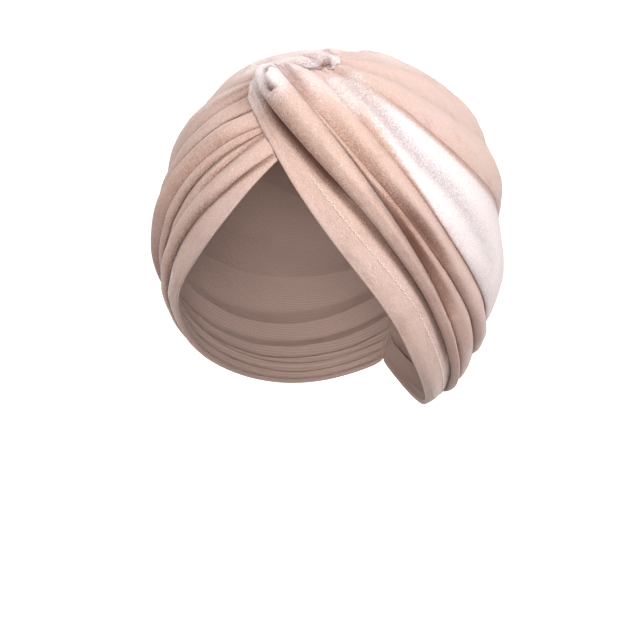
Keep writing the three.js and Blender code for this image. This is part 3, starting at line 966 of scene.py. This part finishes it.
# %% Make nodes with short calls
class Nodes:
    """A material's nodes, made and joined in one call each."""

    def __init__(self, material):
        self.tree = material.node_tree
        self.shader = self.tree.nodes["Principled BSDF"]

    def put(self, socket, value):
        if isinstance(value, bpy.types.NodeSocket):
            self.tree.links.new(value, socket)
        elif isinstance(value, tuple) and len(value) == 3 and socket.type == "RGBA":
            socket.default_value = (*value, 1)
        else:
            socket.default_value = value

    def make(self, kind, inputs=(), **settings):
        made = self.tree.nodes.new("ShaderNode" + kind)
        for key, value in settings.items():
            setattr(made, key, value)
        for key, value in dict(inputs).items():
            self.put(made.inputs[key], value)
        return made

    def set_shader(self, **inputs):
        """Sets or joins the shader's own sockets, named with _ for each space."""
        for key, value in inputs.items():
            self.put(self.shader.inputs[key.replace("_", " ")], value)

    def attribute(self, name):
        return self.make("Attribute", attribute_name=name).outputs["Fac"]

    def math(self, operation, a, b=0.0, clamp=False):
        made = self.make("Math", operation=operation, use_clamp=clamp)
        self.put(made.inputs[0], a)
        self.put(made.inputs[1], b)
        return made.outputs[0]

    def between(self, value, low, high):
        """0 below low, 1 above high, and smooth between."""
        made = self.make("MapRange", {"Value": value, "From Min": low, "From Max": high})
        made.interpolation_type = "SMOOTHSTEP"
        return made.outputs["Result"]

    def part(self, value, low, high, strength):
        """From 0 below low to this strength above high."""
        return self.math("MULTIPLY", self.between(value, low, high), strength)

    def swing(self, value, strength):
        """Noise about its middle, up and down by this strength."""
        return self.math("MULTIPLY", self.math("SUBTRACT", value, 0.5), strength)

    def stretched(self, vector, scale):
        return self.make("Mapping", {"Vector": vector, "Scale": scale}).outputs[0]

    def noise(self, vector, scale, detail=3.0, rough=0.5, distortion=0.0):
        inputs = {"Vector": vector, "Scale": scale, "Detail": detail}
        inputs |= {"Roughness": rough, "Distortion": distortion}
        return self.make("TexNoise", inputs).outputs["Fac"]

    def bump(self, height, strength, distance, under=None):
        """A bump of this distance in metres, on top of another bump where there is one."""
        made = self.make("Bump", {"Height": height, "Strength": strength, "Distance": distance})
        if under is not None:
            self.put(made.inputs["Normal"], under)
        return made.outputs[0]

    def mix(self, share, a, b):
        made = self.make("Mix", data_type="RGBA")
        self.put(made.inputs["Factor"], share)
        self.put(made.inputs[6], a)
        self.put(made.inputs[7], b)
        return made.outputs[2]


print("node helpers:", [name for name in vars(Nodes) if not name.startswith("_")])

# %% [markdown]
# ## The colours of velvet
# Velvet is a short dense pile on a knitted back, and a hand or a fold leaves marks in it. Layers of
# noise mix its colours: wide drifts, crushed marks along the folds, and the fine grain of the pile.
# Light and shade are painted in as well: painted sheen, almost white, on brushed-over pile, and painted
# shade, deep and warm, in the hollows, in the creases and on the lower folds over the ear.

# %% Mix the colours of the pile
# deep is the colour of crushed marks and of the painted shade on the lower folds; light is the white of the
# painted sheen and of paler brushed marks; hollow, lavender and crease are colours of painted shade
PILE = {
    "deep": (0.37, 0.22, 0.175), "beige": (0.63, 0.45, 0.38), "rose": (0.64, 0.465, 0.425),
    "light": (0.87, 0.79, 0.785), "crease": (0.16, 0.07, 0.05), "back": (0.62, 0.46, 0.40),
    "hollow": (0.35, 0.20, 0.15), "lavender": (0.45, 0.38, 0.40), "rib": (0.52, 0.37, 0.32),
}
# noise over the cap: how many to the metre, then its detail and roughness
DRIFTS = (16, 2)
SPECKLE = (900, 2, 0.6)
# noise over the cloth: its scale to the mm along and down, and then scale, detail, roughness and distortion
MARKS = (0.06, 0.10, 1), (1.0, 6, 0.66, 0.4)
# painted shade on the lower folds over the ear: the shares across where it starts and ends, and along where
# it starts
LOW_FOLD_SHADE_START = (0.22, 0.31)
LOW_FOLD_SHADE_END = (0.42, 0.54)
LOW_FOLD_SHADE_ALONG = (0.2, 0.42)


def pile_colour(n, place, cloth, brushed, grain):
    """The colour of the pile from its marks and grain, with painted sheen on brushed pile and painted shade
    in hollows, creases and lower folds.
    """
    # of each part: none below the first number, all of it above the second, times the third
    marks = n.noise(n.stretched(cloth, MARKS[0]), *MARKS[1])
    colour = n.mix(n.between(n.noise(place, *DRIFTS), 0.35, 0.65), PILE["beige"], PILE["rose"])
    colour = n.mix(n.part(marks, 0.5, 0.72, 0.35), colour, PILE["deep"])
    colour = n.mix(n.part(brushed, 0.5, 0.75, 0.35), colour, PILE["light"])
    # painted shade: the lower folds over the ear turn darker and warmer
    across = n.attribute("across")
    not_past = n.math("SUBTRACT", 1.0, n.between(across, *LOW_FOLD_SHADE_END))
    low_folds = n.math("MULTIPLY", n.between(across, *LOW_FOLD_SHADE_START), not_past)
    low_fold_shade = n.math("MULTIPLY", low_folds, n.between(n.attribute("along"), *LOW_FOLD_SHADE_ALONG))
    colour = n.mix(n.math("MULTIPLY", low_fold_shade, 0.42), colour, PILE["deep"])
    # painted sheen: brushed-over pile, broken up by marks, brushing and speckle, turns almost white, and the
    # painted shade there turns lavender grey
    pale = n.math("ADD", n.attribute("nap"), n.swing(marks, 0.5))
    pale = n.math("ADD", pale, n.swing(brushed, 0.4))
    pale = n.between(n.math("ADD", pale, n.swing(n.noise(place, *SPECKLE), 0.6)), 0.16, 0.84)
    shade = n.mix(pale, PILE["hollow"], PILE["lavender"])
    colour = n.mix(pale, colour, PILE["light"])
    # painted shade in the hollows, speckled by the pile's grain, then the grain's own dark specks in that
    # same colour
    grainy = n.math("ADD", 0.35, n.between(grain, 0.3, 0.7))
    colour = n.mix(n.math("MULTIPLY", n.attribute("hollow"), grainy, clamp=True), colour, shade)
    colour = n.mix(n.part(grain, 0.35, 0.7, 0.36), colour, shade)
    # painted shade in the creases
    return n.mix(n.attribute("crease"), colour, PILE["crease"])


print("colours of the pile:", list(PILE))

# %% [markdown]
# ## The velvet
# The grain of the pile also roughens the surface, as a bump too fine for the mesh, and sheen on
# the shader gives velvet its bright soft edges. The sheet's inside shows the ribs of the knit.

# %% Make the velvet
# the pile's grain and its unevenness: how many to the metre, detail and roughness
GRAIN = (1500, 2, 0.6)
UNEVEN = (260, 3, 0.6)
# brushed fibres over the cloth, with the numbers of MARKS
BRUSHED = (0.45, 0.8, 1), (1.0, 4, 0.7, 0.2)
# turns of the knit's ribs on the back of the velvet: 0.29 gives a rib of 1.1 mm
KNIT_RIBS = 0.29


def velvet_material():
    """Pile outside, a ribbed knit inside, and the sheen and roughness of short fibres."""
    made = plain_material("velvet", PILE["beige"], 0.6)
    n = Nodes(made)
    place = n.make("TexCoord").outputs["Object"]
    cloth = n.make("CombineXYZ", {"X": n.attribute("length"), "Y": n.attribute("down")}).outputs[0]
    brushed = n.noise(n.stretched(cloth, BRUSHED[0]), *BRUSHED[1])
    grain = n.noise(place, *GRAIN)
    colour = pile_colour(n, place, cloth, brushed, grain)
    waves = {"Vector": cloth, "Scale": KNIT_RIBS, "Distortion": 0.4}
    ribs = n.make("TexWave", waves, bands_direction="Y").outputs["Fac"]
    knit = n.mix(ribs, PILE["rib"], PILE["back"])
    pile = n.bump(grain, 0.5, 0.0006)
    pile = n.bump(n.noise(place, *UNEVEN), 0.3, 0.0008, pile)
    n.set_shader(
        Base_Color=n.mix(n.attribute("inside"), colour, knit),
        Roughness=n.math("ADD", 0.52, n.math("MULTIPLY", brushed, 0.3)),
        Specular_IOR_Level=0.25, Sheen_Weight=0.62, Sheen_Roughness=0.32, Sheen_Tint=(1.0, 0.87, 0.84),
        Normal=n.bump(brushed, 0.35, 0.0012, pile),
    )
    return made


velvet = velvet_material()
for sheet in (left_sheet, right_sheet):
    sheet.data.materials.clear()
    sheet.data.materials.append(velvet)
print("velvet nodes:", len(velvet.node_tree.nodes))

# %% [markdown]
# ## The hem's stitches
# Stretch cloth is hemmed with a zigzag, which can give as the cloth stretches. The line runs
# beside the rim. Each stitch is a short piece of thread, thicker in its middle than at its ends,
# where it dips into the pile, and it is laid on the finished face of the sheet.

# %% Find where the needle goes in
# in mm: a stitch's length and the zigzag's width, the thread's radius, how proud it lies and how far it bows
STITCH = {"length": 1.5, "width": 1.1, "thread": 0.2, "proud": 0.1, "bow": 0.18, "sides": 5}
# the cloth points (across, along) that each line of stitches passes
HEM_LINES = {
    "left_panel": [(0.112, 0.185), (0.13, 0.30), (0.145, 0.40), (0.16, 0.50), (0.165, 0.65), (0.12, 0.97)],
    "right_panel": [(0.085, 0.30), (0.095, 0.45), (0.10, 0.60), (0.09, 0.80), (0.08, 0.97)],
}
# points that measure a line of stitches
LINE_POINTS = 400
# a small step across that measures how wide the cloth is there
STEP_ACROSS = 0.01


def on_sheet(grid, face, across, along):
    """Points on the sheet's face at these cloth points."""
    core = face[EDGE_STEPS:-EDGE_STEPS, EDGE_STEPS:-EDGE_STEPS]
    columns = np.asarray(along) ** (1 / CROWDING) * (COLUMNS - 1)
    made = []
    for a, c in zip(across, columns):
        k = min(int(c), COLUMNS - 2)
        ends = []
        for column in (k, k + 1):
            row = np.interp(a, grid["across"][:, column], np.arange(len(grid["across"])))
            r = min(int(row), len(core) - 2)
            ends.append(core[r, column] * (1 - row + r) + core[r + 1, column] * (row - r))
        made.append(ends[0] * (1 - c + k) + ends[1] * (c - k))
    return np.array(made)


def stitch_knots(grid, face, path):
    """Where the needle goes in, on one side and the other of a line over the cloth."""
    across, along = along_path(path, LINE_POINTS)
    travelled = lengths(on_sheet(grid, face, across, along), 0)
    turns = np.arange(0, travelled[-1], STITCH["length"])
    across, along = (np.interp(turns, travelled, values) for values in (across, along))
    beside = on_sheet(grid, face, across + STEP_ACROSS, along) - on_sheet(grid, face, across, along)
    side = np.where(np.arange(len(turns)) % 2 == 0, 0.5, -0.5)
    swing = side * STITCH["width"] * STEP_ACROSS / np.linalg.norm(beside, axis=1)
    return on_sheet(grid, face, across + swing, along)


left_knots = stitch_knots(left_grid, left_faces[0], HEM_LINES["left_panel"])
right_knots = stitch_knots(right_grid, right_faces[0], HEM_LINES["right_panel"])
print("needle holes:", len(left_knots), "left and", len(right_knots), "right")

# %% [markdown]
# ## Thread between the needle's holes
# Each stitch is five rings of points from one hole to the next, bowed away from the cloth in the
# middle. All stitches of a line are one mesh, which is light and keeps them together.

# %% Sew the hems
# the rings of a stitch: the share of its length and of the thread's radius
RINGS = ((0, 0.35), (0.18, 0.9), (0.5, 1.0), (0.82, 0.9), (1, 0.35))


def sew_line(name, knots):
    """A mesh of stitches from each of these points to the next."""
    outward = form_normal(knots)
    start, end, outward = knots[:-1], knots[1:], unit(outward[:-1] + outward[1:])
    sideways = unit(np.cross(end - start, outward))
    sides, last = STITCH["sides"], len(RINGS) - 1
    points = []
    for share, thick in RINGS:
        height = STITCH["proud"] + STITCH["bow"] * math.sin(math.pi * share)
        hub = start + (end - start) * share + outward * height
        for side in range(sides):
            a = 2 * math.pi * side / sides
            around = sideways * math.cos(a) + outward * math.sin(a)
            points.append(hub + around * STITCH["thread"] * thick)
    one = [[r + k, r + (k + 1) % sides, r + sides + (k + 1) % sides, r + sides + k]
           for r in range(0, last * sides, sides) for k in range(sides)]
    one += [list(range(sides))[::-1], [last * sides + k for k in range(sides)]]
    faces = [[i + stitch * len(points) for i in face] for stitch in range(len(start)) for face in one]
    return smooth_object(name, np.stack(points, 1).reshape(-1, 3), faces)


left_hem_stitch = sew_line("left_hem_stitch", left_knots)
right_hem_stitch = sew_line("right_hem_stitch", right_knots)
print("stitch faces:", len(left_hem_stitch.data.polygons), len(right_hem_stitch.data.polygons))

# %% [markdown]
# ## Thread
# Sewing thread is spun, so it is lighter and darker along its fibres and never quite smooth. It
# is a little paler than the velvet, which makes the stitches show.

# %% Spin the thread
# two colours, and the fibres between them: how many to the metre, detail and roughness
THREAD_DARK = (0.72, 0.60, 0.53)
THREAD_LIGHT = (0.93, 0.86, 0.82)
FIBRES = (2600, 3, 0.6)


def thread_material():
    """Spun thread, paler and darker along its fibres."""
    made = plain_material("thread", (0.86, 0.76, 0.70), 0.55)
    n = Nodes(made)
    fibres = n.noise(n.make("TexCoord").outputs["Object"], *FIBRES)
    n.set_shader(
        Base_Color=n.mix(fibres, THREAD_DARK, THREAD_LIGHT), Sheen_Weight=0.3,
        Normal=n.bump(fibres, 0.4, 0.0002),
    )
    return made


thread = thread_material()
for line in (left_hem_stitch, right_hem_stitch):
    line.data.materials.append(thread)
print("thread nodes:", len(thread.node_tree.nodes))

# %% [markdown]
# ## Onto the cap
# Each sheet stands in for its CAD panel, which is hidden, and rides on the cap, and so do its stitches.

sewn = (left_sheet, "left_panel", left_hem_stitch), (right_sheet, "right_panel", right_hem_stitch)
for sheet, panel, line in sewn:
    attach(sheet, "root")
    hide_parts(panel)
    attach(line, "root")
